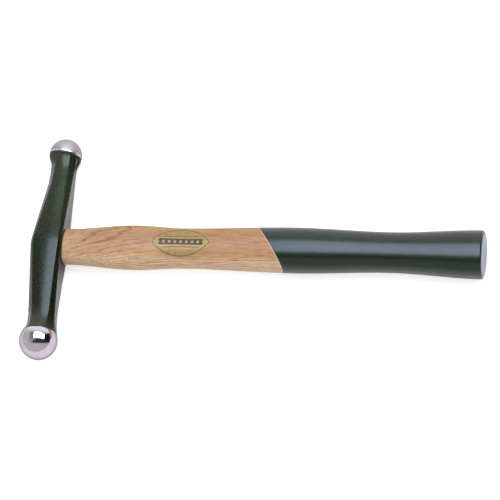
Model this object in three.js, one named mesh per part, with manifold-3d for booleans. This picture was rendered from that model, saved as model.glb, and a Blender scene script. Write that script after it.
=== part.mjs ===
import * as THREE from 'three';
import { mergeVertices } from 'three/addons/utils/BufferGeometryUtils.js';
import Module from 'manifold-3d';

const wasm = await Module();
wasm.setup();

// Embossing hammer, in millimetres. The handle runs along +X from the eye and the small ball
// points to +Y. The hammer lies on its side, so Z is the direction through its cheeks.

// Head, measured from the middle of the eye
const eyeSection = { crown: 12, under: 9.9, half: 12.1, chamfer: 2 };
const smallArm = {
  side: 1,
  ballRadius: 11.5,
  ballReach: 69.6,
  ballShift: 1.35, // how far the ball's middle lies toward the handle
  neck: { crown: 6.5, under: 10, half: 7, chamfer: 3.4 },
  neckReach: 50,
  crownReach: 46, // the crown tapers as far as this
  flareLength: 17,
  crownRise: 1,
  underRise: 3,
  rimBack: 0.9, // from the ball's middle to the rim where its flare ends
  cheekFlare: { length: 15, power: 2.4 },
  rim: { underCheek: [4.7, 8.2], under: [9, 5.2], crown: [-9.9, 5.7], crownCheek: [-5.5, 8.2] },
};
const largeArm = {
  side: -1,
  ballRadius: 13.2,
  ballReach: 70.3,
  ballShift: 0.7,
  neck: { crown: 8.3, under: 10.5, half: 7, chamfer: 3.5 },
  neckReach: 50,
  crownReach: 70.3,
  flareLength: 21,
  crownRise: 2.5,
  underRise: 2.5,
  rimBack: 5.7,
  cheekFlare: { length: 19, power: 1.4 },
  rim: { underCheek: [6.8, 9.2], under: [10.6, 5.2], crown: [-10.5, 5.6], crownCheek: [-5.8, 9.2] },
};
const landReach = 22; // the underside is flat this far to each side of the handle
const landGap = 1.3; // from the handle's shoulder to the land that a rack's bar can take
const flareSeatShare = 0.42; // of the ball's radius, where the flare has its full rise
const flareBlend = 0.8;
const cheekBulge = 0.5; // how far the middle of each cheek stands out of its edges
const underSwellPower = 1.6; // how broadly the underside swells into a ball
const rimStep = 0.3; // height of the small step from the flare to the ball

// Eye, an oval hole that is narrowest in the middle of the head
const eyeWaist = { height: 21.2, depth: 13.8 };
const eyeFlareCrown = 2.4; // how much wider it is at the crown than at its waist
const eyeFlareUnder = 1;

// Handle
const handleLength = 291.5; // from its shoulder to its butt
const handleBow = 0.6;
const shoulderRound = 1;
const buttRound = 2;
const neckSize = { height: 25.4, depth: 18.4 };
const swellSize = { height: 31.3, depth: 24.6 };
const waistSize = { height: 28.1, depth: 22.8 };
const bellySize = { height: 31.7, depth: 25.2 };
const gripWaistSize = { height: 28, depth: 22.6 };
const buttSize = { height: 33.5, depth: 27 };
const handleOutline = [
  { share: 0, size: neckSize },
  { share: 0.174, size: swellSize },
  { share: 0.29, size: waistSize },
  { share: 0.553, size: bellySize },
  { share: 0.779, size: gripWaistSize },
  { share: 1, size: buttSize },
];
const tenonInset = 1.5; // how far the tenon's end lies below the top of the crown

// Wedges, driven into the tenon from the crown
const kerfDepth = 19;
const woodWedge = { depth: 16, thick: 3.4, tip: 0.9 };
const ringWedge = { depth: 11, outer: 4.9, taper: 0.5, wall: 1.3 };

// Foil label, wrapped round the cheek of the handle
const labelLength = 44;
const labelMiddle = 84.5; // from the handle's shoulder
const labelSpan = 47; // degrees round the handle, to each side of the label's middle
const labelThickness = 0.25;
const labelGap = 0.25;

// Clearances and cutting
const fitGap = 0.3;
const overrun = 3;

// Facets
const flatSteps = 6;
const chamferSteps = 3;
const flareSteps = 12;
const ballSteps = 12;
const eyePoints = 48;
const handlePoints = 44;
const handleSteps = 36;
const roundSteps = 4;
const labelRings = 16;
const labelColumns = 8;
const ringPoints = 40;
const eyeRoundness = 2;
const handleRoundness = 2.2;

// Places that follow from the sizes
const shoulderX = eyeSection.under + fitGap;
const tenonX = tenonInset - eyeSection.crown;
const landStart = neckSize.height / 2 + landGap;

const { lerp, clamp, degToRad } = THREE.MathUtils;

// Solids

// A closed skin through rings of points. Each ring turns right-handed about the way from
// the first ring to the last, and each end closes on its tip.
function loft(rings, firstTip, lastTip) {
  const count = rings[0].length;
  const points = [...rings.flat(), firstTip, lastTip];
  const first = points.length - 2;
  const last = points.length - 1;
  const faces = [];
  for (let i = 0; i < count; i += 1) {
    const next = (i + 1) % count;
    const top = (rings.length - 1) * count;
    faces.push(first, next, i);
    faces.push(last, top + i, top + next);
    for (let ring = 0; ring < rings.length - 1; ring += 1) {
      const near = ring * count;
      const far = near + count;
      faces.push(near + i, near + next, far + next);
      faces.push(near + i, far + next, far + i);
    }
  }
  const geometry = new THREE.BufferGeometry();
  const flat = points.flatMap((point) => point.toArray());
  geometry.setAttribute('position', new THREE.Float32BufferAttribute(flat, 3));
  geometry.setIndex(faces);
  return geometry;
}

function toSolid(geometry) {
  const bare = geometry.clone();
  bare.deleteAttribute('normal');
  bare.deleteAttribute('uv');
  const merged = mergeVertices(bare);
  return new wasm.Manifold(new wasm.Mesh({
    numProp: 3,
    vertProperties: new Float32Array(merged.attributes.position.array),
    triVerts: new Uint32Array(merged.index.array),
  }));
}

function toGeometry(solid) {
  const mesh = solid.getMesh();
  const geometry = new THREE.BufferGeometry();
  geometry.setAttribute('position', new THREE.BufferAttribute(mesh.vertProperties, 3));
  geometry.setIndex(new THREE.BufferAttribute(mesh.triVerts, 1));
  geometry.computeVertexNormals();
  return geometry;
}

function makeMesh(name, geometry, material) {
  const mesh = new THREE.Mesh(geometry, material);
  mesh.name = name;
  return mesh;
}

// Materials

function headEnamel() {
  return new THREE.MeshStandardMaterial({ color: 0x252b28, roughness: 0.35, metalness: 0.2 });
}

function ashWood() {
  return new THREE.MeshStandardMaterial({ color: 0xc79a6b, roughness: 0.55, metalness: 0 });
}

function wedgeWood() {
  return new THREE.MeshStandardMaterial({ color: 0xd9bd8c, roughness: 0.7, metalness: 0 });
}

function brightSteel() {
  return new THREE.MeshStandardMaterial({ color: 0xb9b6b4, roughness: 0.25, metalness: 1 });
}

function goldFoil() {
  return new THREE.MeshStandardMaterial({ color: 0xc9a24a, roughness: 0.35, metalness: 0.9 });
}

// Head

// The eight-sided section of a plain arm, at a distance from the middle of the eye
function armSection(arm, reach) {
  const share = reach / arm.neckReach;
  const crownShare = Math.min(reach, arm.crownReach) / arm.neckReach;
  const landShare = Math.max(0, reach - landReach) / (arm.neckReach - landReach);
  return {
    crown: lerp(eyeSection.crown, arm.neck.crown, crownShare),
    under: lerp(eyeSection.under, arm.neck.under, landShare),
    half: lerp(eyeSection.half, arm.neck.half, share),
    chamfer: lerp(eyeSection.chamfer, arm.neck.chamfer, share),
  };
}

function sectionCorners({ crown, under, half, chamfer }) {
  const inner = half - chamfer;
  return [
    [under - chamfer, half],
    [under, inner],
    [under, -inner],
    [under - chamfer, -half],
    [chamfer - crown, -half],
    [-crown, -inner],
    [-crown, inner],
    [chamfer - crown, half],
  ].map(([x, z]) => new THREE.Vector2(x, z));
}

// The points round a section: the side that each lies on and how far along it. The sides are a
// chamfer, the underside, two chamfers with a cheek between them, the crown, a chamfer and a
// cheek.
const outlinePlaces = Array.from({ length: 8 }, (_, side) => {
  const steps = side % 2 ? flatSteps : chamferSteps;
  return Array.from({ length: steps }, (_step, step) => ({ side, share: step / steps }));
}).flat();

function sectionOutline(corners) {
  return outlinePlaces.map(({ side, share }) => {
    const point = corners[side].clone().lerp(corners[(side + 1) % corners.length], share);
    const isCheek = side % 4 === 3;
    point.y += isCheek ? cheekBulge * Math.sign(point.y) * 4 * share * (1 - share) : 0;
    return point;
  });
}

// How far a point of the outline follows the swelling of the crown or the underside
function swellShare({ side, share }) {
  const underShare = 1 - Math.abs(2 * share - 1) ** underSwellPower;
  return [0, underShare, 0, 0, share, 1, 1 - share, 0][side];
}

function softMax(a, b, blend) {
  const overlap = Math.max(0, blend - Math.abs(a - b));
  return Math.max(a, b) + (blend > 0 ? overlap ** 2 / (4 * blend) : 0);
}

function ballRing(arm, toBall) {
  return Math.sqrt(Math.max(0, arm.ballRadius ** 2 - toBall ** 2));
}

function rimRadius(arm) {
  return ballRing(arm, arm.rimBack);
}

// Where the swelling puts a spoke that would end on the crown or underside of a plain arm
function swollenRadius(arm, toBall, spoke) {
  const seat = arm.ballRadius * flareSeatShare;
  const share = clamp((arm.flareLength - toBall) / (arm.flareLength - seat), 0, 1) ** 2;
  const rise = spoke.x < 0 ? arm.crownRise : arm.underRise;
  const flared = Math.min(spoke.length() + rise * share, rimRadius(arm));
  return softMax(flared, ballRing(arm, toBall), flareBlend * Math.min(1, toBall / seat));
}

// The section's corners at the rim of the ball, measured from the ball's axis
function rimCorners(arm) {
  const { underCheek, under, crown, crownCheek } = arm.rim;
  const upper = ([x, z]) => new THREE.Vector2(x, z);
  const lower = ([x, z]) => new THREE.Vector2(x, -z);
  return [
    ...[underCheek, under].map(upper),
    ...[under, underCheek, crownCheek, crown].map(lower),
    ...[crown, crownCheek].map(upper),
  ];
}

// How far from the middle of a ball its flare begins
function flareReach(arm) {
  return Math.max(arm.flareLength, arm.rimBack + arm.cheekFlare.length);
}

// Spokes from the ball's axis to the skin of an arm, up to the rim of the ball. The section's
// corners rise to those at the rim, while the crown and the underside swell into the ball.
function armSpokes(arm, reach) {
  const axis = new THREE.Vector2(arm.ballShift, 0);
  const plainCorners = sectionCorners(armSection(arm, reach)).map((corner) => corner.sub(axis));
  const plain = sectionOutline(plainCorners);
  const toBall = arm.ballReach - reach;
  if (toBall >= flareReach(arm)) {
    return plain;
  }
  const along = clamp(1 - (toBall - arm.rimBack) / arm.cheekFlare.length, 0, 1);
  const rim = sectionOutline(rimCorners(arm));
  return plain.map((spoke, i) => {
    const flared = spoke.clone().lerp(rim[i], along ** arm.cheekFlare.power);
    const share = toBall < arm.flareLength ? swellShare(outlinePlaces[i]) : 0;
    return flared.setLength(lerp(flared.length(), swollenRadius(arm, toBall, spoke), share));
  });
}

function armRing(arm, reach) {
  const toBall = arm.ballReach - reach;
  const spokes = armSpokes(arm, Math.min(reach, arm.ballReach - arm.rimBack));
  return spokes.map((spoke) => {
    if (toBall < arm.rimBack) {
      spoke.setLength(ballRing(arm, toBall));
    }
    return new THREE.Vector3(spoke.x + arm.ballShift, arm.side * reach, spoke.y);
  });
}

// Distances from the eye at which an arm has a ring, from the eye outward
function armReaches(arm) {
  const flare = Array.from({ length: flareSteps + 1 }, (_, step) => (
    arm.ballReach - lerp(flareReach(arm), arm.rimBack, step / flareSteps)));
  const rimAngle = Math.asin((rimStep - arm.rimBack) / arm.ballRadius);
  const ball = Array.from({ length: ballSteps }, (_, step) => (
    arm.ballReach + arm.ballRadius * Math.sin(lerp(rimAngle, Math.PI / 2, step / ballSteps))));
  return [landStart, landReach, ...flare, ...ball];
}

function ballTip(arm) {
  return new THREE.Vector3(arm.ballShift, arm.side * (arm.ballReach + arm.ballRadius), 0);
}

function headBody() {
  const large = armReaches(largeArm).reverse().map((reach) => armRing(largeArm, reach));
  const small = armReaches(smallArm).map((reach) => armRing(smallArm, reach));
  const middle = armRing(smallArm, 0);
  return toSolid(loft([...large, middle, ...small], ballTip(largeArm), ballTip(smallArm)));
}

function makeHead() {
  const eye = eyeLoft(-eyeSection.crown - overrun, eyeSection.under + overrun, 0);
  return makeMesh('hammer_head', toGeometry(headBody().subtract(eye)), headEnamel());
}

// Eye and tenon

function bend(value, roundness) {
  return Math.sign(value) * Math.abs(value) ** (2 / roundness);
}

function ovalPoint(x, middleY, size, roundness, angle) {
  const y = size.height / 2 * bend(Math.cos(angle), roundness);
  const z = size.depth / 2 * bend(Math.sin(angle), roundness);
  return new THREE.Vector3(x, middleY + y, z);
}

function ovalRing(x, middleY, size, roundness, count) {
  return Array.from({ length: count }, (_, i) => (
    ovalPoint(x, middleY, size, roundness, i / count * Math.PI * 2)));
}

// A size with the same amount added all round
function grown({ height, depth }, amount) {
  return { height: height + 2 * amount, depth: depth + 2 * amount };
}

// The eye's size at a place along the handle
function eyeSize(x) {
  const flare = x < 0 ? -x / eyeSection.crown * eyeFlareCrown : x / eyeSection.under * eyeFlareUnder;
  return grown(eyeWaist, flare / 2);
}

// The shape of the eye between two places along the handle, or of the tenon with a clearance
function eyeLoft(fromX, toX, clearance) {
  const rings = [fromX, 0, toX].map((x) => (
    ovalRing(x, 0, grown(eyeSize(x), -clearance), eyeRoundness, eyePoints)));
  return toSolid(loft(rings, new THREE.Vector3(fromX, 0, 0), new THREE.Vector3(toX, 0, 0)));
}

function tenonLoft() {
  return eyeLoft(tenonX, shoulderX + overrun, fitGap);
}

// Handle

// Height and depth of the handle at a share of its length, eased from one named size to the next
function handleSize(share) {
  const after = handleOutline.findIndex((station) => station.share >= share);
  const next = handleOutline[Math.max(1, after)];
  const last = handleOutline[Math.max(1, after) - 1];
  const along = (share - last.share) / (next.share - last.share);
  const eased = (1 - Math.cos(along * Math.PI)) / 2;
  return {
    height: lerp(last.size.height, next.size.height, eased),
    depth: lerp(last.size.depth, next.size.depth, eased),
  };
}

function handleBend(share) {
  return handleBow * Math.sin(share * Math.PI);
}

// The handle's outline at a distance from its shoulder, shrunk by an inset all round
function handleRing(distance, inset) {
  const share = distance / handleLength;
  const size = grown(handleSize(share), -inset);
  return ovalRing(shoulderX + distance, handleBend(share), size, handleRoundness, handlePoints);
}

// Steps over a rounded end, from its flat face inward
function roundedEnd(radius) {
  return Array.from({ length: roundSteps }, (_, step) => {
    const angle = (1 - step / roundSteps) * Math.PI / 2;
    return { distance: radius * (1 - Math.sin(angle)), inset: radius * (1 - Math.cos(angle)) };
  });
}

function handleBody() {
  const start = roundedEnd(shoulderRound).map((step) => handleRing(step.distance, step.inset));
  const middle = Array.from({ length: handleSteps + 1 }, (_, step) => (
    handleRing(lerp(shoulderRound, handleLength - buttRound, step / handleSteps), 0)));
  const end = roundedEnd(buttRound).reverse().map((step) => (
    handleRing(handleLength - step.distance, step.inset)));
  const firstTip = new THREE.Vector3(shoulderX, 0, 0);
  const lastTip = new THREE.Vector3(shoulderX + handleLength, handleBend(1), 0);
  return toSolid(loft([...start, ...middle, ...end], firstTip, lastTip));
}

function makeHandle() {
  const kerf = wedgeLoft(-overrun, kerfDepth, fitGap);
  const groove = ringSolid(overrun, fitGap);
  const solid = handleBody().add(tenonLoft()).subtract(kerf).subtract(groove);
  return makeMesh('handle', toGeometry(solid), ashWood());
}

// Wedges

// The wooden wedge's taper between two depths below the tenon's end, or its saw cut with a
// clearance. It is wider than the tenon, which trims it.
function wedgeLoft(fromDepth, toDepth, clearance) {
  const halfWidth = eyeWaist.height;
  const rings = [fromDepth, toDepth].map((depth) => {
    const thick = lerp(woodWedge.thick, woodWedge.tip, depth / woodWedge.depth);
    const half = thick / 2 + clearance;
    const corners = [[halfWidth, -half], [halfWidth, half], [-halfWidth, half], [-halfWidth, -half]];
    return corners.map(([y, z]) => new THREE.Vector3(tenonX + depth, y, z));
  });
  const tips = [fromDepth, toDepth].map((depth) => new THREE.Vector3(tenonX + depth, 0, 0));
  return toSolid(loft(rings, ...tips));
}

function makeWoodWedge() {
  const solid = wedgeLoft(0, woodWedge.depth, 0)
    .intersect(tenonLoft())
    .subtract(ringSolid(overrun, fitGap));
  return makeMesh('wooden_wedge', toGeometry(solid), wedgeWood());
}

// A hollow ring that tapers inward as it goes down, with its top at zero height
function ringGeometry(above, clearance) {
  const outerAt = (height) => ringWedge.outer + ringWedge.taper * height / ringWedge.depth;
  const inner = ringWedge.outer - ringWedge.wall - clearance;
  const bottom = -ringWedge.depth - clearance;
  const profile = [
    new THREE.Vector2(inner, bottom),
    new THREE.Vector2(outerAt(bottom) + clearance, bottom),
    new THREE.Vector2(outerAt(above) + clearance, above),
    new THREE.Vector2(inner, above),
    new THREE.Vector2(inner, bottom),
  ];
  return new THREE.LatheGeometry(profile, ringPoints);
}

// The ring where it sits, or the groove that it leaves with a clearance
function ringSolid(above, clearance) {
  const geometry = ringGeometry(above, clearance);
  geometry.rotateZ(Math.PI / 2);
  geometry.translate(tenonX, 0, 0);
  return toSolid(geometry);
}

function makeRingWedge() {
  const ring = makeMesh('ring_wedge', ringGeometry(0, 0), brightSteel());
  ring.position.x = tenonX;
  ring.rotation.z = Math.PI / 2;
  return ring;
}

// Label

// One cut across the label: its outer face one way round the handle and its back face the other
function labelRing(along) {
  const distance = along * labelLength / 2 + labelMiddle;
  const share = distance / handleLength;
  const span = degToRad(labelSpan) * (1 - along ** 2);
  const arc = Array.from({ length: labelColumns + 1 }, (_, column) => (
    Math.PI / 2 + lerp(-span, span, column / labelColumns)));
  const wrap = (offset) => (angle) => ovalPoint(
    shoulderX + distance, handleBend(share), grown(handleSize(share), offset), handleRoundness, angle);
  const face = arc.map(wrap(labelGap + labelThickness));
  const back = arc.reverse().map(wrap(labelGap));
  return [...face, ...back];
}

function labelTip(along) {
  const distance = along * labelLength / 2 + labelMiddle;
  const share = distance / handleLength;
  const size = grown(handleSize(share), labelGap + labelThickness / 2);
  return ovalPoint(shoulderX + distance, handleBend(share), size, handleRoundness, Math.PI / 2);
}

function makeLabel() {
  const rings = Array.from({ length: labelRings - 1 }, (_, ring) => (
    labelRing(lerp(-1, 1, (ring + 1) / labelRings))));
  const geometry = toGeometry(toSolid(loft(rings, labelTip(-1), labelTip(1))));
  return makeMesh('foil_label', geometry, goldFoil());
}

// Assembly, with its origin in the middle of its footprint, on the surface that it lies on

const hammer = new THREE.Group();
hammer.add(makeHead(), makeHandle(), makeWoodWedge(), makeRingWedge(), makeLabel());

const bounds = new THREE.Box3().setFromObject(hammer);
const middle = bounds.getCenter(new THREE.Vector3());
hammer.position.set(-middle.x, -middle.y, -bounds.min.z);

const part = new THREE.Group();
part.add(hammer);

export default part;
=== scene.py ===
from math import pi, radians

import bpy
import numpy as np
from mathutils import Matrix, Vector


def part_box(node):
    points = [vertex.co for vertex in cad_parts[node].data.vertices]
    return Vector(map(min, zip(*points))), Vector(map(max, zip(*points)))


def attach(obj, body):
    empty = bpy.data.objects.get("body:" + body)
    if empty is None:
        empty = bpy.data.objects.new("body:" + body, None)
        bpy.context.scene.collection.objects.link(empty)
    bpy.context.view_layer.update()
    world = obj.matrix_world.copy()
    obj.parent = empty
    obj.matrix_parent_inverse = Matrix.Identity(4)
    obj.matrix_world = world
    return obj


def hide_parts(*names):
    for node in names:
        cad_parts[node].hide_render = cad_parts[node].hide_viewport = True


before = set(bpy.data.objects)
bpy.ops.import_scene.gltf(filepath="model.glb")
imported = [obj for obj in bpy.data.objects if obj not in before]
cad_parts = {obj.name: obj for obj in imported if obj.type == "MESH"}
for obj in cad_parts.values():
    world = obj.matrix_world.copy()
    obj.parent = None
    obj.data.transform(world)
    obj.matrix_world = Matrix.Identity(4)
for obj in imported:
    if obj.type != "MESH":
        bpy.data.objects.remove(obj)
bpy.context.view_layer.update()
mm = 0.001


# Camera, where the photograph was taken from

shot = {
    "place": (0.4725, -0.8480, 1.9374),
    "turn": (24.56, 11.20, 6.25),  # degrees
    "lens": 228.24,
    "sensor": 36.0,
    "farthest": 30,
}


def setUpCamera():
    data = bpy.data.cameras.new("shotCamera")
    data.lens = shot["lens"]
    data.sensor_width = shot["sensor"]
    data.clip_end = shot["farthest"]
    camera = bpy.data.objects.new("shotCamera", data)
    camera.location = shot["place"]
    camera.rotation_euler = [radians(angle) for angle in shot["turn"]]
    bpy.context.collection.objects.link(camera)
    bpy.context.scene.camera = camera
    bpy.context.scene.view_settings.view_transform = "Standard"


setUpCamera()
print("camera placed")


# Head sizes, in millimetres from the middle of the eye: the CAD's own, then the paint's and the mesh's

head = {
    "eye": {"crown": 12, "under": 9.9, "half": 12.1, "chamfer": 2},
    "small": {"side": 1, "radius": 11.5, "reach": 69.6, "shift": 1.35, "neckReach": 50,
              "neck": {"crown": 6.5, "under": 10, "half": 7, "chamfer": 3.4},
              "crownReach": 46, "flareLength": 17, "crownRise": 1, "underRise": 3,
              "rimBack": 0.9, "cheekFlare": (15, 2.4),
              "rim": ((4.7, 8.2), (9, 5.2), (-9.9, 5.7), (-5.5, 8.2)),
              "paintTilt": -0.105, "paintRagged": 0.06},
    "large": {"side": -1, "radius": 13.2, "reach": 70.3, "shift": 0.7, "neckReach": 50,
              "neck": {"crown": 8.3, "under": 10.5, "half": 7, "chamfer": 3.5},
              "crownReach": 70.3, "flareLength": 21, "crownRise": 2.5, "underRise": 2.5,
              "rimBack": 5.7, "cheekFlare": (19, 1.4),
              "rim": ((6.8, 9.2), (10.6, 5.2), (-10.5, 5.6), (-5.8, 9.2)),
              "paintTilt": 0.0, "paintRagged": 0.3},
    "landReach": 22,
    "flareSeat": 0.42,
    "flareBlend": 0.8,
    "underSwellPower": 1.6,
    "cheekBulge": 0.5,  # how far the middle of a cheek stands out of its edges
    "peakRound": 2.5,  # how softly the faces of the two arms meet at the eye
    "edgeSharpness": 70,
    "paintFilm": 0.05,
    "raggedWaves": [(3, 1, 0.5), (7, 2.2, 0.35), (13, 0.4, 0.3), (29, 0, 0.2)],  # count, start, height
    "raggedBlend": 9,  # how far back along the arm the rings follow the paint's ragged edge
    "rimCover": 0.15,  # how far the paint's edge reaches over the steel
    "rimRound": 0.12,
    "rimBend": 0.3,  # share of that round at which its middle ring lies
    "ledge": 2.5,  # how far the flat step goes on under the paint
    "domeInset": 0.04,  # keeps the round domes within the faceted solid
    "domeRings": 44,
    "hiddenTips": {"paint": 3, "ball": 1},  # how far behind the rims the hidden ends close
    "pointsPerSide": 22,
    "ringStep": 0.8,
}


# Mesh helpers

def newShape(name, points, faces):
    mesh = bpy.data.meshes.new(name)
    places = np.asarray(points, float) * mm + np.array(eye)
    mesh.from_pydata([tuple(place) for place in places], [], faces)
    mesh.validate()
    shape = bpy.data.objects.new(name, mesh)
    bpy.context.collection.objects.link(shape)
    return shape


def newPiece(name, points, faces, material, slot, *nodes):
    piece = newShape(name, points, faces)
    piece.data.materials.append(material)
    smoothShade(piece)
    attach(piece, "root")
    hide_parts(*nodes)
    return piece


def smoothShade(piece, sharpAngle=50):  # in degrees
    mesh = piece.data
    mesh.polygons.foreach_set("use_smooth", [True] * len(mesh.polygons))
    mesh.set_sharp_from_angle(angle=radians(sharpAngle))


def skin(rings, firstTip, lastTip):  # points and faces of a loft that closes on a tip at each end
    rings = np.asarray(rings, float)
    count, around = rings.shape[:2]
    points = [*rings.reshape(-1, 3), np.asarray(firstTip, float), np.asarray(lastTip, float)]
    faces = []
    for ring in range(count - 1):
        for i in range(around):
            near = ring * around
            j = (i + 1) % around
            faces.append((near + i, near + j, near + around + j, near + around + i))
    first, last, top = count * around, count * around + 1, (count - 1) * around
    faces += [(first, (i + 1) % around, i) for i in range(around)]
    faces += [(last, top + i, top + (i + 1) % around) for i in range(around)]
    return points, faces


def combine(piece, operation, points, faces):  # cuts a piece with a shape, or joins the two
    tool = newShape("tool", points, faces)
    change = piece.modifiers.new("combine", "BOOLEAN")
    change.operation = operation
    change.solver = "EXACT"
    change.object = tool
    graph = bpy.context.evaluated_depsgraph_get()
    made = bpy.data.meshes.new_from_object(piece.evaluated_get(graph))
    piece.modifiers.clear()
    piece.data = made
    bpy.data.objects.remove(tool)


def smoothStep(value):
    value = np.clip(value, 0, 1)
    return value * value * (3 - 2 * value)


# Shader helpers

def newMaterial(name):
    material = bpy.data.materials.new(name)
    material.use_nodes = True
    tree = material.node_tree
    return material, tree, tree.nodes["Principled BSDF"]


def addNode(tree, kind, **settings):
    made = tree.nodes.new("ShaderNode" + kind)
    for key, value in settings.items():
        setattr(made, key, value)
    return made


def feed(tree, value, socket):
    if isinstance(value, bpy.types.NodeSocket):
        tree.links.new(value, socket)
    else:
        socket.default_value = value


def calc(tree, operation, *values):
    made = addNode(tree, "Math", operation=operation)
    for value, socket in zip(values, made.inputs):
        feed(tree, value, socket)
    return made.outputs[0]


def calcVector(tree, operation, *values):
    made = addNode(tree, "VectorMath", operation=operation)
    for value, socket in zip(values, made.inputs):
        feed(tree, value, socket)
    return made.outputs["Value" if operation in ("DOT_PRODUCT", "LENGTH") else "Vector"]


def times(tree, first, second):
    return calc(tree, "MULTIPLY", first, second)


def plus(tree, first, second):
    return calc(tree, "ADD", first, second)


def minus(tree, first, second):
    return calc(tree, "SUBTRACT", first, second)


def larger(tree, first, second):
    return calc(tree, "MAXIMUM", first, second)


def hypot(tree, first, second):
    return calc(tree, "SQRT", plus(tree, times(tree, first, first), times(tree, second, second)))


def fade(tree, value, start, end, low=0.0, high=1.0):
    made = addNode(tree, "MapRange", clamp=True, interpolation_type="SMOOTHSTEP")
    feed(tree, value, made.inputs["Value"])
    for key, number in (("From Min", start), ("From Max", end), ("To Min", low), ("To Max", high)):
        feed(tree, number, made.inputs[key])
    return made.outputs["Result"]


def mixColour(tree, share, first, second):
    made = addNode(tree, "Mix", data_type="RGBA")
    for value, socket in ((share, 0), (first, 6), (second, 7)):  # the node's own sockets for colours
        feed(tree, value, made.inputs[socket])
    return made.outputs[2]


def noise(tree, place, scale, detail=3.0, roughness=0.5):
    made = addNode(tree, "TexNoise")
    feed(tree, place, made.inputs["Vector"])
    made.inputs["Scale"].default_value = scale
    made.inputs["Detail"].default_value = detail
    made.inputs["Roughness"].default_value = roughness
    return made.outputs["Fac"]


def bumpNormal(tree, height, depth):
    made = addNode(tree, "Bump")
    made.inputs["Distance"].default_value = depth * mm
    feed(tree, height, made.inputs["Height"])
    return made.outputs["Normal"]


def shade(red, green, blue):  # a colour as it shows on screen
    linear = []
    for value in (red / 255, green / 255, blue / 255):
        linear.append(value / 12.92 if value <= 0.04045 else ((value + 0.055) / 1.055) ** 2.4)
    return (*linear, 1.0)


def placeFromEye(tree):  # place on the object, in millimetres from the middle of the eye
    place = addNode(tree, "TexCoord").outputs["Object"]
    fromEye = calcVector(tree, "SUBTRACT", place, tuple(eye))
    return calcVector(tree, "MULTIPLY", fromEye, (1 / mm, 1 / mm, 1 / mm))


def parts(tree, place):
    split = addNode(tree, "SeparateXYZ")
    feed(tree, place, split.inputs[0])
    return split.outputs


def vary(tree, pattern, low=0.0, high=1.0):  # follows a noise, whose values lie mostly from 0.3 to 0.7
    return fade(tree, pattern, 0.3, 0.7, low, high)


def grainNoise(tree, place, scales, detail, roughness=0.5):  # noise with its own scale along each axis
    return noise(tree, calcVector(tree, "MULTIPLY", place, scales), 1.0, detail, roughness)


def setSockets(bsdf, values):
    for name, value in values.items():
        bsdf.inputs[name].default_value = value


def dress(tree, bsdf, finish, colour, gloss, relief):
    feed(tree, colour, bsdf.inputs["Base Color"])
    feed(tree, gloss, bsdf.inputs["Roughness"])
    feed(tree, bumpNormal(tree, relief, finish["relief"]), bsdf.inputs["Normal"])
    setSockets(bsdf, finish["sockets"])


# Head shape

def armSection(arm, reach):
    softReach = np.sqrt(reach ** 2 + head["peakRound"] ** 2)
    share = np.minimum(softReach, arm["reach"]) / arm["neckReach"]
    crownShare = np.minimum(softReach, arm["crownReach"]) / arm["neckReach"]
    land = np.maximum(0, np.minimum(reach, arm["reach"]) - head["landReach"])
    landShare = land / (arm["neckReach"] - head["landReach"])
    first, last = head["eye"], arm["neck"]
    return {
        "crown": first["crown"] + (last["crown"] - first["crown"]) * crownShare,
        "under": first["under"] + (last["under"] - first["under"]) * landShare,
        "half": first["half"] + (last["half"] - first["half"]) * share,
        "chamfer": first["chamfer"] + (last["chamfer"] - first["chamfer"]) * share,
    }


def sectionCorners(section, shift):  # round the section, from the cheek that faces up
    inner = section["half"] - section["chamfer"]
    under, crown, half, chamfer = (section[key] for key in ("under", "crown", "half", "chamfer"))
    x = np.stack([under - chamfer, under, under, under - chamfer,
                  chamfer - crown, -crown, -crown, chamfer - crown]) - shift
    z = np.stack([half, inner, -inner, -half, -half, -inner, inner, half])
    return x, z


def rimCorners(arm):  # where those corners end, at the rim of the ball
    underCheek, under, crown, crownCheek = arm["rim"]
    upper = np.array([underCheek, under, under, underCheek, crownCheek, crown, crown, crownCheek])
    sides = np.array([1, 1, -1, -1, -1, -1, 1, 1])
    return upper[:, 0, None, None], (upper[:, 1] * sides)[:, None, None]


def spokeWays(corners, sides, shares):  # unit vectors to points along the section's sides
    following = (sides + 1) % 8
    columns = np.arange(len(sides)) if corners[0].shape[-1] > 1 else np.zeros(len(sides), int)
    x, z = (values[sides, :, columns].T * (1 - shares) + values[following, :, columns].T * shares
            for values in corners)
    length = np.hypot(x, z)
    return x / length, z / length


def outlineRadius(corners, alongX, alongZ, ballRim=None):
    # softly rounded corners and bulging cheeks; a rim of a ball has arcs for its crown and underside
    power = head["edgeSharpness"]
    total = (1 / ballRim) ** power if ballRim else 0
    for side in range(8):
        x, z = corners[0][side], corners[1][side]
        nextX, nextZ = corners[0][(side + 1) % 8], corners[1][(side + 1) % 8]
        length = np.hypot(nextX - x, nextZ - z)
        wayX, wayZ = (nextX - x) / length, (nextZ - z) / length
        distance = z * wayX - x * wayZ
        facing = alongZ * wayX - alongX * wayZ
        if side % 4 == 3:  # a cheek, a shallow arch between its two edges
            bulge, half = head["cheekBulge"], length / 2
            middle = ((x + nextX) * wayX + (z + nextZ) * wayZ) / length
            slant = (alongX * wayX + alongZ * wayZ) / half
            square = bulge * slant ** 2
            linear = facing - 2 * bulge * middle * slant
            rest = distance + bulge - bulge * middle ** 2
            total = total + ((linear + np.sqrt(linear ** 2 + 4 * square * rest)) / (2 * rest)) ** power
        elif side % 2 == 0 or not ballRim:
            total = total + (np.maximum(0, facing) / distance) ** power
    return total ** (-1 / power)


def softMax(first, second, blend, leastBlend=0.001):  # the larger of two, rounded where they meet
    overlap = np.maximum(0, blend - np.abs(first - second))
    return np.maximum(first, second) + overlap ** 2 / (4 * np.maximum(blend, leastBlend))


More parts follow.
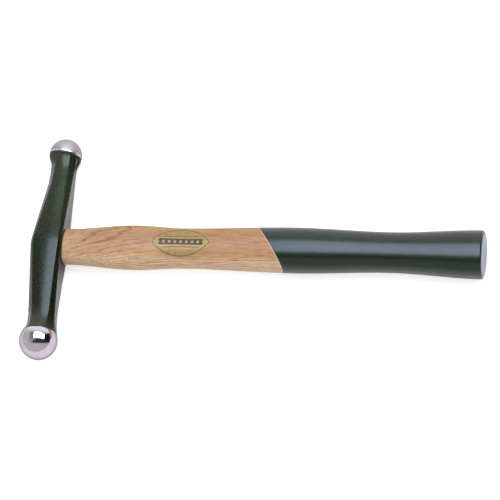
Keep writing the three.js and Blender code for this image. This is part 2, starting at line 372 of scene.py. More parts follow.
def edgeRadius(arm, toBall, armRadius, ballRim, alongX):  # how the crown and the underside swell
    ballRing = np.sqrt(np.maximum(0, arm["radius"] ** 2 - toBall ** 2))
    seat = arm["radius"] * head["flareSeat"]
    rise = np.clip((arm["flareLength"] - toBall) / (arm["flareLength"] - seat), 0, 1)
    swell = np.where(alongX < 0, arm["crownRise"], arm["underRise"]) * rise ** 2
    flared = np.minimum(armRadius + swell, ballRim)
    return softMax(flared, ballRing, head["flareBlend"] * np.clip(toBall / seat, 0, 1))


def swellShares(sides, shares):  # how far each column follows the swelling crown or underside
    under = 1 - np.abs(2 * shares - 1) ** head["underSwellPower"]
    none = np.zeros_like(shares)
    return np.choose(sides, [none, under, none, none, shares, none + 1, 1 - shares, none])


def rimSpokes(arm, sides, shares):
    ballRim = np.sqrt(arm["radius"] ** 2 - arm["rimBack"] ** 2)
    corners = rimCorners(arm)
    alongX, alongZ = spokeWays(corners, sides, shares)
    radius = outlineRadius(corners, alongX, alongZ, ballRim)
    return ballRim, radius * alongX, radius * alongZ


def armSurface(arm, reach, sides, shares):  # rings from the eye to the rim of the ball
    section = armSection(arm, reach)
    shift = arm["shift"] * np.clip(reach / arm["neckReach"], 0, 1)
    corners = sectionCorners(section, shift)
    alongX, alongZ = spokeWays(corners, sides, shares)
    plain = outlineRadius(corners, alongX, alongZ)
    ballRim, rimX, rimZ = rimSpokes(arm, sides, shares)
    toBall = arm["reach"] - reach
    flareLength, flarePower = arm["cheekFlare"]
    rise = np.clip(1 - (toBall - arm["rimBack"]) / flareLength, 0, 1) ** flarePower
    x = plain * alongX + (rimX - plain * alongX) * rise
    z = plain * alongZ + (rimZ - plain * alongZ) * rise
    length = np.hypot(x, z)
    edge = edgeRadius(arm, toBall, plain, ballRim, alongX)
    swellShare = np.where(toBall < arm["flareLength"], swellShares(sides, shares), 0)
    radius = length + (edge - length) * swellShare + head["paintFilm"]
    y = np.broadcast_to(arm["side"] * reach, x.shape)
    return np.stack([shift + x / length * radius, y, z / length * radius], axis=-1)


def ringColumns():  # which side of the section each column lies on, and how far along it
    count = head["pointsPerSide"]
    spread = (1 - np.cos(np.arange(count) / count * pi)) / 2
    sides = np.repeat(np.arange(8), count)
    return sides, np.tile(spread, 8)


def paintEdge(arm, sides, shares):  # how far from the eye the paint ends, round the ball
    _, x, z = rimSpokes(arm, sides, shares)
    around = np.arctan2(z[0], x[0])
    ragged = sum(height * np.sin(count * around + start) for count, start, height in head["raggedWaves"])
    return arm["reach"] - arm["rimBack"] + arm["paintTilt"] * x[0] + arm["paintRagged"] * ragged


def armRings(arm, sides, shares):
    rim, blend = arm["reach"] - arm["rimBack"], head["raggedBlend"]
    steps = int(rim / head["ringStep"])
    reach = (np.arange(1, steps + 1) / steps * rim)[:, None]
    edge = paintEdge(arm, sides, shares)[None, :]
    reach = reach + (edge - rim) * smoothStep((reach - rim + blend) / blend)
    return armSurface(arm, reach, sides, shares)


def ballRings(arm, sides, shares):  # a dome that stands on a small flat step behind its rim
    radius, middle = arm["radius"] - head["domeInset"], arm["reach"]
    start = np.arcsin((paintEdge(arm, sides, shares) - head["rimCover"] - middle) / radius)
    turn = np.linspace(0, 1, head["domeRings"])[:-1, None]
    angle = start + (pi / 2 - start) * turn
    reach, around = middle + radius * np.sin(angle), radius * np.cos(angle)
    rim, rimAround, soft = reach[:1], around[:1], head["rimRound"]
    bend = soft * head["rimBend"]
    reach = np.concatenate([rim, rim, rim + bend, rim + soft, reach[1:]])
    around = np.concatenate([rimAround - head["ledge"], rimAround - soft, rimAround - bend, around])
    _, x, z = rimSpokes(arm, sides, shares)
    length = np.hypot(x, z)
    x, z = arm["shift"] + around * x / length, around * z / length
    return np.stack([x, arm["side"] * reach, z], axis=-1)


def hiddenTip(arm, part):
    return (arm["shift"], arm["side"] * (arm["reach"] - arm["rimBack"] - head["hiddenTips"][part]), 0)


def makeHead(paint, brightFinish, satinFinish):
    sides, shares = ringColumns()
    small, large = head["small"], head["large"]
    middle = armSurface(small, np.zeros((1, len(sides))), sides, shares)
    rings = [armRings(large, sides, shares)[::-1], middle, armRings(small, sides, shares)]
    tips = [hiddenTip(arm, "paint") for arm in (large, small)]
    shape = skin(np.concatenate(rings), *tips)
    body = newPiece("paintedHead", *shape, paint, "head_enamel", "hammer_head")
    combine(body, "DIFFERENCE", *eyeShape(eyeHole["cut"]))
    smoothShade(body)
    for name, arm, finish in (("smallBall", small, satinFinish), ("largeBall", large, brightFinish)):
        rings, first = ballRings(arm, sides, shares), hiddenTip(arm, "ball")
        last = (arm["shift"], arm["side"] * (arm["reach"] + arm["radius"]), 0)
        if arm["side"] < 0:
            rings, first, last = rings[::-1], last, first
        newPiece(name, *skin(rings, first, last), finish, "polished_steel", "hammer_head")


# Eye and handle shapes

handle = {
    "length": 291.5,
    "bow": 0.6,
    "stations": [  # share of the length, height, depth
        (0, 25.4, 18.4), (0.174, 31.3, 24.6), (0.29, 28.1, 22.8),
        (0.553, 31.7, 25.2), (0.779, 28, 22.6), (1, 33.5, 27),
    ],
    "shoulderRound": 1.0,
    "buttRound": 2.0,
    "roundRings": 8,
    "roundness": 2.2,
    "woodInset": 0.08,  # bare wood lies this far under the lacquer's face
    "points": 128,
    "ringStep": 1.5,
    "fit": 0.3,  # between the head and the handle's shoulder
    "tenonEnd": 1.5,  # below the top of the crown
    "tenonPlay": 0.06,
    "tenonChamfer": 0.25,
    "tenonRoot": 3,  # how far the tenon runs on into the handle
    "sharpAngle": 35,  # degrees from which an edge stays crisp
}
eyeHole = {
    "height": 21.2, "depth": 13.8, "crownFlare": 2.4, "underFlare": 1.0, "points": 144,
    "cut": [  # X of each ring and how far it stands out of the bore, with a chamfer at both mouths
        (-15, 0.9), (-12.2, 0.9), (-11.2, 0), (0, 0), (9.3, 0), (9.95, 0.5), (13, 0.5),
    ],
}
shoulderX = head["eye"]["under"] + handle["fit"]
tenonX = handle["tenonEnd"] - head["eye"]["crown"]

headLow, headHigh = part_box("hammer_head")
eye = Vector((
    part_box("handle")[1][0] - (shoulderX + handle["length"]) * mm,
    headLow[1] + (head["large"]["radius"] + head["large"]["reach"]) * mm,
    (headLow[2] + headHigh[2]) / 2,
))


def squared(wave, roundness):  # a sine or cosine, bent so that an oval fills its corners more
    return np.sign(wave) * np.abs(wave) ** (2 / roundness)


def oval(x, middleY, height, depth, roundness, count):
    angle = np.arange(count) / count * 2 * pi
    y = middleY + height / 2 * squared(np.cos(angle), roundness)
    z = depth / 2 * squared(np.sin(angle), roundness)
    return np.stack([np.full(count, float(x)), y, z], axis=-1)


def eyeRing(x, extra):
    crown, under = head["eye"]["crown"], head["eye"]["under"]
    flare = -x / crown * eyeHole["crownFlare"] if x < 0 else x / under * eyeHole["underFlare"]
    height, depth = eyeHole["height"] + flare + 2 * extra, eyeHole["depth"] + flare + 2 * extra
    return oval(x, 0, height, depth, roundness=2, count=eyeHole["points"])


def eyeShape(rings):
    first, last = rings[0][0], rings[-1][0]
    return skin([eyeRing(x, extra) for x, extra in rings], (first, 0, 0), (last, 0, 0))


def handleRing(distance, inset):
    share = np.clip(distance / handle["length"], 0, 1)
    stations = handle["stations"]
    after = max(1, next(i for i, station in enumerate(stations) if station[0] >= share))
    near, far = stations[after - 1], stations[after]
    eased = (1 - np.cos((share - near[0]) / (far[0] - near[0]) * pi)) / 2
    height = near[1] + (far[1] - near[1]) * eased
    depth = near[2] + (far[2] - near[2]) * eased
    middleY = handle["bow"] * np.sin(share * pi)
    return oval(shoulderX + distance, middleY, height - 2 * inset, depth - 2 * inset,
                roundness=handle["roundness"], count=handle["points"])


def handleRings(inset):
    length, start, end = handle["length"] - inset, handle["shoulderRound"], handle["buttRound"]
    turns = np.linspace(1, 0, handle["roundRings"] + 1)[:-1] * pi / 2
    rings = [handleRing(start * (1 - np.sin(turn)), inset + start * (1 - np.cos(turn))) for turn in turns]
    steps = int((length - start - end) / handle["ringStep"])
    rings += [handleRing(start + (length - start - end) * i / steps, inset) for i in range(steps + 1)]
    rings += [handleRing(length - end * (1 - np.sin(turn)), inset + end * (1 - np.cos(turn)))
              for turn in turns[::-1]]
    return np.array(rings)


# Wedge shapes, which also cut their own seats in the tenon

woodenWedge = {
    "thick": 3.4, "tip": 0.9,
    "top": 0.15, "depth": 16,  # both down from the tenon's end
    "half": 21,  # wider than the eye, whose shape trims it
    "eyePlay": 0.1,
    "trimAbove": 1,
}
ringWedge = {"depth": 11, "outer": 4.9, "taper": 0.5, "wall": 1.3, "edge": 0.15, "points": 96}
seats = {
    "above": 3,  # how far the cutting shapes stand out of the tenon
    "sawDepth": 19, "sawPlay": 0.05, "ringPlay": 0.04,
}


def woodWedge(top, bottom, extra):
    wedge, rings = woodenWedge, []
    for depth in (top, bottom):
        thick = wedge["thick"] + (wedge["tip"] - wedge["thick"]) * depth / wedge["depth"]
        y, z, x = wedge["half"], thick / 2 + extra, tenonX + depth
        rings.append([(x, y, -z), (x, y, z), (x, -y, z), (x, -y, -z)])
    return skin(rings, (tenonX + top, 0, 0), (tenonX + bottom, 0, 0))


def ringRadius(depth, extra):  # the ring's outer face is slightly tapered
    return ringWedge["outer"] - ringWedge["taper"] * depth / ringWedge["depth"] + extra


def ringShape(above, extra):
    inner = ringWedge["outer"] - ringWedge["wall"] - extra
    bottom, edge = ringWedge["depth"] + extra, ringWedge["edge"]
    profile = [
        (inner, bottom), (ringRadius(bottom, extra), bottom),
        (ringRadius(edge, extra), edge - above), (ringRadius(0, extra) - edge, -above),
        (inner + edge, -above), (inner, edge - above),
    ]
    count = ringWedge["points"]
    angle = np.arange(count) / count * 2 * pi
    points, faces = [], []
    for radius, depth in profile:
        points += [(tenonX + depth, radius * np.cos(a), radius * np.sin(a)) for a in angle]
    for row in range(len(profile)):
        near, far = row * count, (row + 1) % len(profile) * count
        for i in range(count):
            j = (i + 1) % count
            faces.append((near + i, near + j, far + j, far + i))
    return points, faces


def makeHandle(woodFinish):
    rings = handleRings(handle["woodInset"])
    tips = [(shoulderX, 0, 0), (shoulderX + handle["length"] - handle["woodInset"], 0, 0)]
    wood = newPiece("ashHandle", *skin(rings, *tips), woodFinish, "ash_wood", "handle")
    play, chamfer = -handle["tenonPlay"], handle["tenonChamfer"]
    tenon = [(tenonX, play - chamfer)]
    tenon += [(x, play) for x in (tenonX + chamfer, 0, shoulderX + handle["tenonRoot"])]
    combine(wood, "UNION", *eyeShape(tenon))
    combine(wood, "DIFFERENCE", *woodWedge(-seats["above"], seats["sawDepth"], seats["sawPlay"]))
    combine(wood, "DIFFERENCE", *ringShape(seats["above"], seats["ringPlay"]))
    smoothShade(wood, handle["sharpAngle"])


def makeWedges(woodFinish, steelFinish):
    solid = woodWedge(woodenWedge["top"], woodenWedge["depth"], 0)
    wedge = newPiece("woodenWedge", *solid, woodFinish, "wedge_wood", "wooden_wedge")
    places = (tenonX - woodenWedge["trimAbove"], 0, shoulderX + handle["tenonRoot"])
    combine(wedge, "INTERSECT", *eyeShape([(x, -woodenWedge["eyePlay"]) for x in places]))
    combine(wedge, "DIFFERENCE", *ringShape(seats["above"], seats["ringPlay"]))
    smoothShade(wedge, handle["sharpAngle"])
    newPiece("ringWedge", *ringShape(0, 0), steelFinish, "polished_steel", "ring_wedge")


# Grip, a film of lacquer over the wood from a slanted edge to the butt

grip = {
    "plane": (155.4, -0.658, 0.107),  # X where the lacquer starts, and its slopes along Y and Z
    "lip": ((0.3, 0.0), (0.05, 0.0), (0.015, 0.04), (0, 0.12)),  # depth and X of its rounded edge
    "straightFrom": 12,  # past the edge, where the rings stand straight again
    "bridgeRings": 24,  # between the slanted edge and the first straight ring
    "edgeTries": 8,
}


def slantedRing(places, inset):  # a ring round the handle with its own X for each point
    return np.array([handleRing(x - shoulderX, inset)[i] for i, x in enumerate(places)])


def makeGrip(finish):
    base, slopeY, slopeZ = grip["plane"]
    edge = np.full(handle["points"], base)
    for _ in range(grip["edgeTries"]):  # each try brings the edge closer to the plane
        near = slantedRing(edge, 0)
        edge = base + slopeY * near[:, 1] + slopeZ * near[:, 2]
    whole = handleRings(0)
    straight = whole[whole[:, 0, 0] > edge.max() + grip["straightFrom"]]
    rings = [slantedRing(edge + forward, inset) for inset, forward in grip["lip"]]
    start = edge + grip["lip"][-1][1]
    for share in np.linspace(0, 1, grip["bridgeRings"] + 2)[1:-1]:
        rings.append(slantedRing(start * (1 - share) + straight[0, 0, 0] * share, 0))
    tips = [(base, 0, 0), (shoulderX + handle["length"], 0, 0)]
    film = skin(np.concatenate([rings, straight]), *tips)
    newPiece("lacqueredGrip", *film, finish, "head_enamel", "handle")


# Label, a thin pointed oval of foil with a plain ornament

label = {
    "length": 44,
    "middle": 84.5,  # from the shoulder
    "span": 47,  # degrees round the handle to each side, where it is widest
    "halfWidth": 11.2,
    "film": 0.04,  # how far it stands off the handle's outline
    "tip": 0.0005,  # share of the width that its points keep
    "columns": 64,
    "rows": 40,
}


def handleOutline(distance, inset, angles):  # points of the handle's outline at these angles
    ring = handleRing(distance, inset)
    low, high = ring.min(axis=0), ring.max(axis=0)
    middle, half = (low + high) / 2, (high - low) / 2
    y = middle[1] + half[1] * squared(np.cos(angles), handle["roundness"])
    z = half[2] * squared(np.sin(angles), handle["roundness"])
    return np.stack([np.full(len(angles), ring[0, 0]), y, z], axis=-1)


def makeLabel(finish):
    points, uvs, faces = [], [], []
    halfLength, rows = label["length"] / 2, label["rows"] + 1
    turns = np.linspace(-1, 1, rows) * radians(label["span"])
    for column in np.linspace(-1, 1, label["columns"] + 1):
        width = max(1 - column ** 2, label["tip"])
        distance = column * halfLength + label["middle"]
        line = handleOutline(distance, -label["film"], pi / 2 - turns * width)
        steps = np.linalg.norm(np.diff(line, axis=0), axis=1)
        wrapped = np.concatenate([[0], np.cumsum(steps)]) / steps.sum() * 2 - 1
        points += list(line)
        uvs += [(column * halfLength, share * label["halfWidth"] * width) for share in wrapped]
    for column in range(label["columns"]):
        for row in range(label["rows"]):
            near = column * rows + row
            faces.append((near, near + rows, near + rows + 1, near + 1))
    piece = newPiece("foilLabel", points, faces, finish, "gold_foil", "foil_label")
    layer = piece.data.uv_layers.new(name="onLabel")
    for loop in piece.data.loops:
        layer.data[loop.index].uv = uvs[loop.vertex_index]


# Finishes. A name that ends in Fade, Along, Across or Patches holds a fade: where it starts and
# where it is full, and then its values there if they aren't 0 and 1. Along and Across are places
# in millimetres from the middle of the eye, the long way of the piece and the other way.

enamel = {
    "colour": shade(8, 15, 3),
    "mottle": shade(15, 23, 7),
    "mottleScale": 0.12,
    "mottleFade": (0.35, 0.7),
    "olive": shade(25, 35, 14),  # lighter and more olive toward the small ball
    "oliveAlong": (8.0, 34.0),
    "olivePatches": (0.25, 0.6, 0.5, 1.0),
    "paintedSheen": shade(38, 56, 28),  # a greener, lighter band near the underside edge of the cheek by the small ball: a painted sheen
    "paintedSheenAcross": (-1.0, 4.0),
    "paintedReflection": shade(52, 53, 38),  # lighter beside both balls, where the flares tilt toward the sky: a painted reflection
    "paintedReflectionAlong": ((-44.0, -60.0), (50.0, 64.0)),
    "cheekAcross": (6.6, 5.2),  # keeps the painted sheen and the painted reflection off the underside
    "speck": shade(92, 106, 76),
    "speckScale": 1.5,
    "speckFade": (0.56, 0.67, 0.0, 0.65),
    "gloss": (0.25, 0.38),  # least and most roughness
    "peel": 2.0,  # how much more the broad waves of the orange peel count than the fine ones
    "relief": 0.035,
    "sockets": {
        "Specular Tint": shade(110, 130, 70),
        "Sheen Weight": 0.25,
        "Sheen Roughness": 0.25,
        "Sheen Tint": shade(200, 216, 240),
        "Coat Weight": 1.0,
        "Coat Roughness": 0.21,
    },
}


def makeEnamel():
    material, tree, bsdf = newMaterial("headEnamel")
    place = placeFromEye(tree)
    x, y, _ = parts(tree, place)
    broad = noise(tree, place, enamel["mottleScale"], detail=4)
    fine = noise(tree, place, enamel["speckScale"], detail=4, roughness=0.65)
    cheek = fade(tree, x, *enamel["cheekAcross"])
    colour = mixColour(tree, fade(tree, broad, *enamel["mottleFade"]), enamel["colour"], enamel["mottle"])
    oliveShare = times(tree, fade(tree, y, *enamel["oliveAlong"]), fade(tree, broad, *enamel["olivePatches"]))
    colour = mixColour(tree, oliveShare, colour, enamel["olive"])
    # painted sheen: greener, lighter paint near the underside edge of the cheek by the small ball
    streak = times(tree, fade(tree, x, *enamel["paintedSheenAcross"]), cheek)
    colour = mixColour(tree, times(tree, streak, oliveShare), colour, enamel["paintedSheen"])
    # painted reflection: lighter paint on the cheeks beside both balls
    nearBalls = larger(tree, *[fade(tree, y, *ends) for ends in enamel["paintedReflectionAlong"]])
    colour = mixColour(tree, times(tree, nearBalls, cheek), colour, enamel["paintedReflection"])
    colour = mixColour(tree, fade(tree, fine, *enamel["speckFade"]), colour, enamel["speck"])
    peel = plus(tree, times(tree, broad, enamel["peel"]), fine)
    dress(tree, bsdf, enamel, colour, vary(tree, fine, *enamel["gloss"]), peel)
    return material


lacquer = {
    "colour": shade(7, 26, 6),
    "mottle": shade(12, 33, 10),
    "mottleScale": 0.05,
    "blotch": shade(22, 48, 18),
    "blotchScale": 0.7,
    "blotchFade": (0.5, 0.68),
    "endGrainAndReflection": shade(122, 127, 144),  # a pale blue-grey butt face: end grain that drinks the lacquer, and a painted reflection of the floor
    "endGrainAndReflectionFade": (-0.2, -0.05),  # from the butt's face
    "grain": (0.06, 0.9, 0.9),  # the wood's grain shows through as fine ripples
    "gloss": (0.29, 0.37),
    "relief": 0.03,
    "sockets": {
        "Specular Tint": shade(60, 84, 60),
        "Coat Weight": 1.0,
        "Coat Roughness": 0.26,
        "Coat IOR": 1.6,
    },
}


def makeLacquer():
    material, tree, bsdf = newMaterial("gripLacquer")
    place = placeFromEye(tree)
    grain = grainNoise(tree, place, lacquer["grain"], detail=4, roughness=0.6)
    broad = noise(tree, place, lacquer["mottleScale"], detail=3)
    fine = noise(tree, place, lacquer["blotchScale"], detail=4, roughness=0.65)
    colour = mixColour(tree, vary(tree, broad), lacquer["colour"], lacquer["mottle"])
    colour = mixColour(tree, fade(tree, fine, *lacquer["blotchFade"]), colour, lacquer["blotch"])
    x, _, _ = parts(tree, place)
    # the butt face's pale blue-grey is partly end grain and partly a painted reflection
    fromButt = [shoulderX + handle["length"] + step for step in lacquer["endGrainAndReflectionFade"]]
    colour = mixColour(tree, fade(tree, x, *fromButt), colour, lacquer["endGrainAndReflection"])
    dress(tree, bsdf, lacquer, colour, vary(tree, grain, *lacquer["gloss"]), grain)
    return material


steel = {
    "bright": {"colour": shade(231, 222, 235), "haze": shade(221, 210, 223), "gloss": 0.08},
    "satin": {"colour": shade(211, 196, 200), "haze": shade(199, 184, 188), "gloss": 0.5},
    "rim": {  # a band on the small ball along the paint, smoother steel painted near white: a painted highlight line
        "colour": shade(245, 243, 245), "endFade": (0.7, 1.0), "gloss": 0.28,
    },
    "hazeScale": 0.25,
    "hazeGloss": 0.05,  # how much rougher the haze is
    "scratches": (6, 0.5, 6),
    "relief": 0.004,
    "sockets": {"Metallic": 1.0, "Specular Tint": shade(180, 170, 180)},
}


def makeSteel(kind):
    material, tree, bsdf = newMaterial(kind + "Steel")
    place = placeFromEye(tree)
    finish = steel[kind]
    scratches = grainNoise(tree, place, steel["scratches"], detail=3, roughness=0.6)
    haze = vary(tree, noise(tree, place, steel["hazeScale"], detail=3))
    colour = mixColour(tree, haze, finish["colour"], finish["haze"])
    gloss = calc(tree, "MULTIPLY_ADD", haze, steel["hazeGloss"], finish["gloss"])
    if kind == "satin":
        arm, rim = head["small"], steel["rim"]
        x, y, _ = parts(tree, place)
        edge = calc(tree, "MULTIPLY_ADD", x, arm["paintTilt"], arm["reach"] - arm["rimBack"])
        # the band along the paint takes a near-white colour: a painted highlight line
        dome = fade(tree, minus(tree, y, edge), *rim["endFade"])
        colour = mixColour(tree, dome, rim["colour"], colour)
        gloss = calc(tree, "MULTIPLY_ADD", dome, minus(tree, gloss, rim["gloss"]), rim["gloss"])
    dress(tree, bsdf, steel, colour, gloss, scratches)
    return material


ash = {
    "late": shade(211, 164, 119),
    "early": shade(160, 108, 67),
    "paintedShadeMiddle": shade(200, 154, 118),  # darker and pinker along the middle, where the lamps light the handle most: painted shade
    "paintedShadeMiddleAcross": ((-9.0, -2.0), (11.0, 5.0)),
    "paintedFloorLight": shade(232, 202, 168),  # paler along the side toward the large ball: painted light from the floor below
    "paintedFloorLightAcross": (-6.0, -12.5),
    "pore": shade(118, 76, 46),
    "poreFade": (0.54, 0.66),
    "poreDepth": 0.8,
    "poreSpread": 0.25,  # how many of the pores lie outside the early wood
    "pale": shade(218, 180, 140),
    "palePatches": (0.45, 0.65, 0.0, 0.35),
    "paleAlong": (34.0, 12.0, 0.0, 0.55),  # toward the head
    "tan": shade(184, 134, 90),  # further along the handle
    "tanAlong": (60.0, 125.0, 0.0, 0.45),
    "tanAcross": (-13.0, -9.0),
    "stainFade": (0.44, 0.7, 0.0, 0.75),  # how the fibres darken it
    "streak": 0.5,  # strength of a darker streak on the small ball's side
    "streakAlong": ((18.0, 34.0), (84.0, 60.0)),
    "streakAcross": (9.5, 12.5),
    "sealed": shade(226, 204, 176),  # a pale line beside the lacquer
    "sealedFade": (-0.9, -0.5, 0.0, 0.6),
    "lean": 62,  # degrees from Y toward Z that the growth rings face
    "ringWidth": 1.9,
    "riseFade": (0.0, 0.1),  # where the early wood comes, as a share of the ring's width
    "fallFade": (0.5, 0.16),  # and where it goes
    "yearFade": (0.1, 0.9, 0.25, 1.0),  # how much one year's early wood differs from another's
    "yearPatches": (0.3, 0.6, 0.35, 1.0),
    "slant": {"from": -12.0, "to": 90.0, "span": 180.0, "rise": 0.3, "drift": 0.02},
    # bends of the growth rings, broad and fine, with the noise's scale along each axis
    "wander": {"scales": (0.012, 0.05, 0.05), "reach": 6.0},
    "waves": {"scales": (0.045, 0.22, 0.22), "reach": 2.2},
    "fibre": (0.07, 1.5, 1.5),
    "pores": (0.16, 2.6, 2.6),
    "patches": (0.012, 0.14, 0.14),
    "gloss": (0.38, 0.52),
    "relief": 0.04,
    "sockets": {"Specular IOR Level": 0.3, "Coat Weight": 0.1, "Coat Roughness": 0.3},
}


def grainRise(tree, x):  # how far the grain has climbed: steeply near the head, hardly further on
    slant = ash["slant"]
    near = calc(tree, "MINIMUM", larger(tree, x, slant["from"]), slant["to"])
    arch = times(tree, near, minus(tree, slant["span"], near))
    return plus(tree, times(tree, arch, slant["rise"] / slant["span"]), times(tree, x, slant["drift"]))


def earlyWood(tree, place, rise):  # 1 in the darker part of each year's ring
    _, y, z = parts(tree, place)
    lean = radians(ash["lean"])
    across = plus(tree, times(tree, y, float(np.cos(lean))), times(tree, z, float(np.sin(lean))))
    rings = minus(tree, across, rise)
    for bend in (ash["wander"], ash["waves"]):
        sway = grainNoise(tree, place, bend["scales"], detail=2)
        rings = plus(tree, rings, times(tree, sway, bend["reach"]))
    rings = calc(tree, "DIVIDE", rings, ash["ringWidth"])
    ring = calc(tree, "FRACT", rings)
    year = addNode(tree, "TexWhiteNoise", noise_dimensions="1D")
    feed(tree, calc(tree, "FLOOR", rings), year.inputs["W"])
    early = times(tree, fade(tree, ring, *ash["riseFade"]), fade(tree, ring, *ash["fallFade"]))
    return times(tree, early, fade(tree, year.outputs["Value"], *ash["yearFade"]))


def makeAsh():
    material, tree, bsdf = newMaterial("ashWood")
    place = placeFromEye(tree)
    x, y, z = parts(tree, place)
    rise = grainRise(tree, x)
    early = earlyWood(tree, place, rise)
    join = addNode(tree, "CombineXYZ")
    for value, socket in zip((x, minus(tree, y, rise), z), join.inputs):
        feed(tree, value, socket)
    slanted = join.outputs[0]
    fibre = grainNoise(tree, slanted, ash["fibre"], detail=5, roughness=0.65)
    pores = grainNoise(tree, slanted, ash["pores"], detail=2)
    broad = grainNoise(tree, slanted, ash["patches"], detail=3)
    # painted shade: darker wood along the middle of the handle
    middle = times(tree, *[fade(tree, y, *ends) for ends in ash["paintedShadeMiddleAcross"]])
    colour = mixColour(tree, middle, ash["late"], ash["paintedShadeMiddle"])
    # painted light: paler wood along the side toward the large ball
    colour = mixColour(tree, fade(tree, y, *ash["paintedFloorLightAcross"]), colour, ash["paintedFloorLight"])
    broken = times(tree, early, fade(tree, broad, *ash["yearPatches"]))
    colour = mixColour(tree, broken, colour, ash["early"])
    colour = mixColour(tree, fade(tree, broad, *ash["palePatches"]), colour, ash["pale"])
    further = times(tree, fade(tree, x, *ash["tanAlong"]), fade(tree, y, *ash["tanAcross"]))
    colour = mixColour(tree, further, colour, ash["tan"])
    colour = mixColour(tree, fade(tree, x, *ash["paleAlong"]), colour, ash["pale"])
    streak = times(tree, *[fade(tree, x, *ends) for ends in ash["streakAlong"]])
    streak = times(tree, streak, fade(tree, y, *ash["streakAcross"]))
    stain = larger(tree, fade(tree, fibre, *ash["stainFade"]), times(tree, streak, ash["streak"]))
    colour = mixColour(tree, stain, colour, ash["early"])
    poreMask = times(tree, fade(tree, pores, *ash["poreFade"]), plus(tree, early, ash["poreSpread"]))
    colour = mixColour(tree, times(tree, poreMask, ash["poreDepth"]), colour, ash["pore"])
    base, slopeY, slopeZ = grip["plane"]
    edge = plus(tree, times(tree, y, slopeY), times(tree, z, slopeZ))
    pastEdge = minus(tree, x, plus(tree, edge, base))
    colour = mixColour(tree, fade(tree, pastEdge, *ash["sealedFade"]), colour, ash["sealed"])
    dress(tree, bsdf, ash, colour, vary(tree, fibre, *ash["gloss"]), minus(tree, fibre, poreMask))
    return material


wedgeWood = {
    "pale": shade(222, 190, 148),
    "dark": shade(176, 138, 98),
    "darkFade": (0.35, 0.7),
    "grain": (1.8, 0.9, 4),
    "gloss": (0.6, 0.75),
    "relief": 0.06,
    "sockets": {},
}


def makeWedgeWood():
    material, tree, bsdf = newMaterial("wedgeWood")
    fibre = grainNoise(tree, placeFromEye(tree), wedgeWood["grain"], detail=4, roughness=0.6)
    dark = fade(tree, fibre, *wedgeWood["darkFade"])
    colour = mixColour(tree, dark, wedgeWood["pale"], wedgeWood["dark"])
    dress(tree, bsdf, wedgeWood, colour, vary(tree, fibre, *wedgeWood["gloss"]), fibre)
    return material


foil = {
    "gold": shade(180, 149, 94),
    "wornGold": shade(160, 129, 79),
    "wornScale": 0.6,
    "wornFade": (0.4, 0.7),
    "ink": shade(46, 42, 30),
    "inkStrength": 0.88,
    "border": (1.1, 1.5),  # in from the label's edge
    "band": 2.1,  # half the height of the dark band across the middle
    "lines": (3.5, 3.9),  # above and below the band
    "lineBlur": 0.12,
    "dotSpacing": 4.0,
    "dotStart": 10,  # whole spacings before the middle, so that the count never falls below zero
    "dotSize": 0.95,
    "dotBlur": 0.1,
    "margin": 3.4,  # where band and lines end, in from the label's edge
    "marginBlur": 0.15,
    "gloss": (0.33, 0.48),
    "relief": 0.01,
    "sockets": {"Metallic": 0.15},
}


def past(tree, value, limit, blur):
    return fade(tree, value, limit - blur, limit + blur)


def within(tree, value, limit, blur):
    return fade(tree, value, limit + blur, limit - blur)


def printedLine(tree, value, start, end):
    blur = foil["lineBlur"]
    return times(tree, past(tree, value, start, blur), within(tree, value, end, blur))


def makeFoil():
    material, tree, bsdf = newMaterial("goldFoil")
    along, across, _ = parts(tree, addNode(tree, "UVMap", uv_map="onLabel").outputs[0])
    fromMiddle = calc(tree, "ABSOLUTE", across)
    halfLength, halfWidth = label["length"] / 2, label["halfWidth"]
    share = calc(tree, "DIVIDE", along, halfLength)
    outline = times(tree, minus(tree, 1.0, times(tree, share, share)), halfWidth)
    lean = hypot(tree, times(tree, share, 2 * halfWidth / halfLength), 1.0)
    inset = calc(tree, "DIVIDE", minus(tree, outline, fromMiddle), lean)  # in from the label's edge
    spacing = foil["dotSpacing"]
    moved = plus(tree, along, foil["dotStart"] * spacing)
    fromDot = calc(tree, "PINGPONG", moved, spacing / 2)
    dots = within(tree, hypot(tree, fromDot, across), foil["dotSize"], foil["dotBlur"])
    band = times(tree, within(tree, fromMiddle, foil["band"], foil["dotBlur"]), minus(tree, 1.0, dots))
    printed = larger(tree, band, printedLine(tree, fromMiddle, *foil["lines"]))
    printed = times(tree, printed, past(tree, inset, foil["margin"], foil["marginBlur"]))
    printed = larger(tree, printed, printedLine(tree, inset, *foil["border"]))
    worn = noise(tree, placeFromEye(tree), foil["wornScale"], detail=4, roughness=0.6)
    colour = mixColour(tree, fade(tree, worn, *foil["wornFade"]), foil["gold"], foil["wornGold"])
    colour = mixColour(tree, times(tree, printed, foil["inkStrength"]), colour, foil["ink"])
    dress(tree, bsdf, foil, colour, vary(tree, worn, *foil["gloss"]), worn)
    return material


brightSteel = makeSteel("bright")
makeHead(makeEnamel(), brightSteel, makeSteel("satin"))
print("head made")
makeHandle(makeAsh())
makeGrip(makeLacquer())
makeWedges(makeWedgeWood(), brightSteel)
print("handle, grip and wedges made")
makeLabel(makeFoil())
print("label made")


# Floor and light

ground = {
    "half": 6,
    "lift": 0.62,  # its glow as the camera sees it
    "mirrored": 0.05,  # and as polished faces show it
    "sockets": {
        "Base Color": shade(236, 236, 236),
        "Roughness": 0.9,
        "Specular IOR Level": 0.0,
        "Emission Color": (1, 1, 1, 1),
    },
}


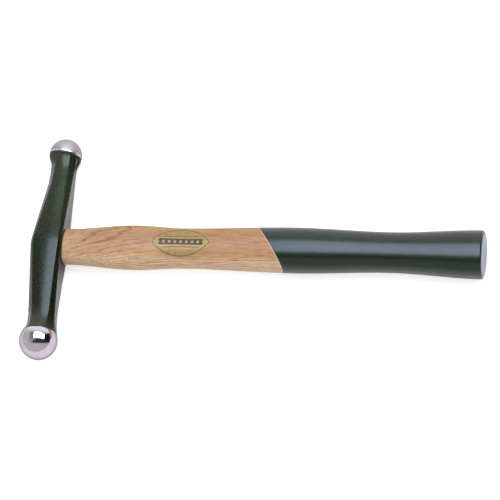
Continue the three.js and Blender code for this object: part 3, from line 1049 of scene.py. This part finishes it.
def makeFloor():
    material, tree, bsdf = newMaterial("paleFloor")
    half = ground["half"]
    corners = [(-half, -half, 0), (half, -half, 0), (half, half, 0), (-half, half, 0)]
    mesh = bpy.data.meshes.new("floor")
    mesh.from_pydata(corners, [], [(0, 1, 2, 3)])
    mesh.materials.append(material)
    floor = bpy.data.objects.new("floor", mesh)
    bpy.context.collection.objects.link(floor)
    path = addNode(tree, "LightPath").outputs
    seen = larger(tree, path["Is Camera Ray"], path["Is Transmission Ray"])
    lift = times(tree, seen, ground["lift"])
    lift = calc(tree, "MULTIPLY_ADD", path["Is Glossy Ray"], ground["mirrored"], lift)
    feed(tree, lift, bsdf.inputs["Emission Strength"])
    setSockets(bsdf, ground["sockets"])


# Sky, in fades along the axes of its direction, or along a way of their own for the dark part

sky = {
    "strength": 0.52,  # for the light it casts
    "fillY": (0.3, -0.6, 1.0, 1.45),  # it casts more from the side of the large ball
    "backY": (0.2, -0.7, 0.2, 0.53),  # as polished faces show it, toward the large ball
    "sideX": (-0.45, -0.8, 0.2, 0.55),  # and past the head
    "glowY": (0.35, 0.85, 0.0, 0.8),  # low over the small ball
    "glowX": (-0.9, -0.5),
    "darkEdges": [  # toward the head and the small ball, and toward the large ball
        ((-0.5635, 0.746, 0.162), (0.08, -0.04)),
        ((0.04, 0.8695, 0.4946), (-0.2, 0.0, 0.0, 0.94)),
    ],
}


def makeSky():  # even light, with a dark part above the camera's side that only mirrors show
    world = bpy.data.worlds.new("sky")
    bpy.context.scene.world = world
    world.use_nodes = True
    tree = world.node_tree
    background = tree.nodes["Background"]
    path = addNode(tree, "LightPath").outputs
    direction = addNode(tree, "TexCoord").outputs["Generated"]
    x, y, _ = parts(tree, direction)
    dark = times(tree, *[fade(tree, calcVector(tree, "DOT_PRODUCT", direction, way), *ends)
                         for way, ends in sky["darkEdges"]])
    glow = times(tree, fade(tree, y, *sky["glowY"]), fade(tree, x, *sky["glowX"]))
    bright = larger(tree, fade(tree, y, *sky["backY"]), fade(tree, x, *sky["sideX"]))
    mirrored = times(tree, minus(tree, 1.0, dark), plus(tree, bright, glow))
    cast = times(tree, fade(tree, y, *sky["fillY"]), sky["strength"])
    seen = larger(tree, path["Is Camera Ray"], path["Is Transmission Ray"])
    strength = calc(tree, "MULTIPLY_ADD", path["Is Glossy Ray"], minus(tree, mirrored, cast), cast)
    feed(tree, larger(tree, seen, strength), background.inputs["Strength"])
    background.inputs["Color"].default_value = (1, 1, 1, 1)


softbox = {
    "place": (0.39, 0.27, 1.2),
    "size": (1.62, 0.84),
    "cast": {"watts": 9.4, "tint": (0.94, 0.98, 1.0), "drop": 0.0},
    "mirrored": {"watts": 20, "tint": (0.66, 0.76, 1.0), "drop": 0.01},  # what only polished faces show
}


def makeSoftbox(name, kind):
    data = bpy.data.lights.new(name, "AREA")
    data.shape = "RECTANGLE"
    data.size, data.size_y = softbox["size"]
    data.energy = softbox[kind]["watts"]
    data.color = softbox[kind]["tint"]
    lamp = bpy.data.objects.new(name, data)
    x, y, z = softbox["place"]
    lamp.location = (x, y, z - softbox[kind]["drop"])
    lamp.visible_camera = False
    lamp.visible_diffuse = kind == "cast"
    lamp.visible_glossy = kind == "mirrored"
    bpy.context.collection.objects.link(lamp)


makeFloor()
makeSky()
makeSoftbox("softbox", "cast")
makeSoftbox("softboxSheen", "mirrored")
print("floor and light set")
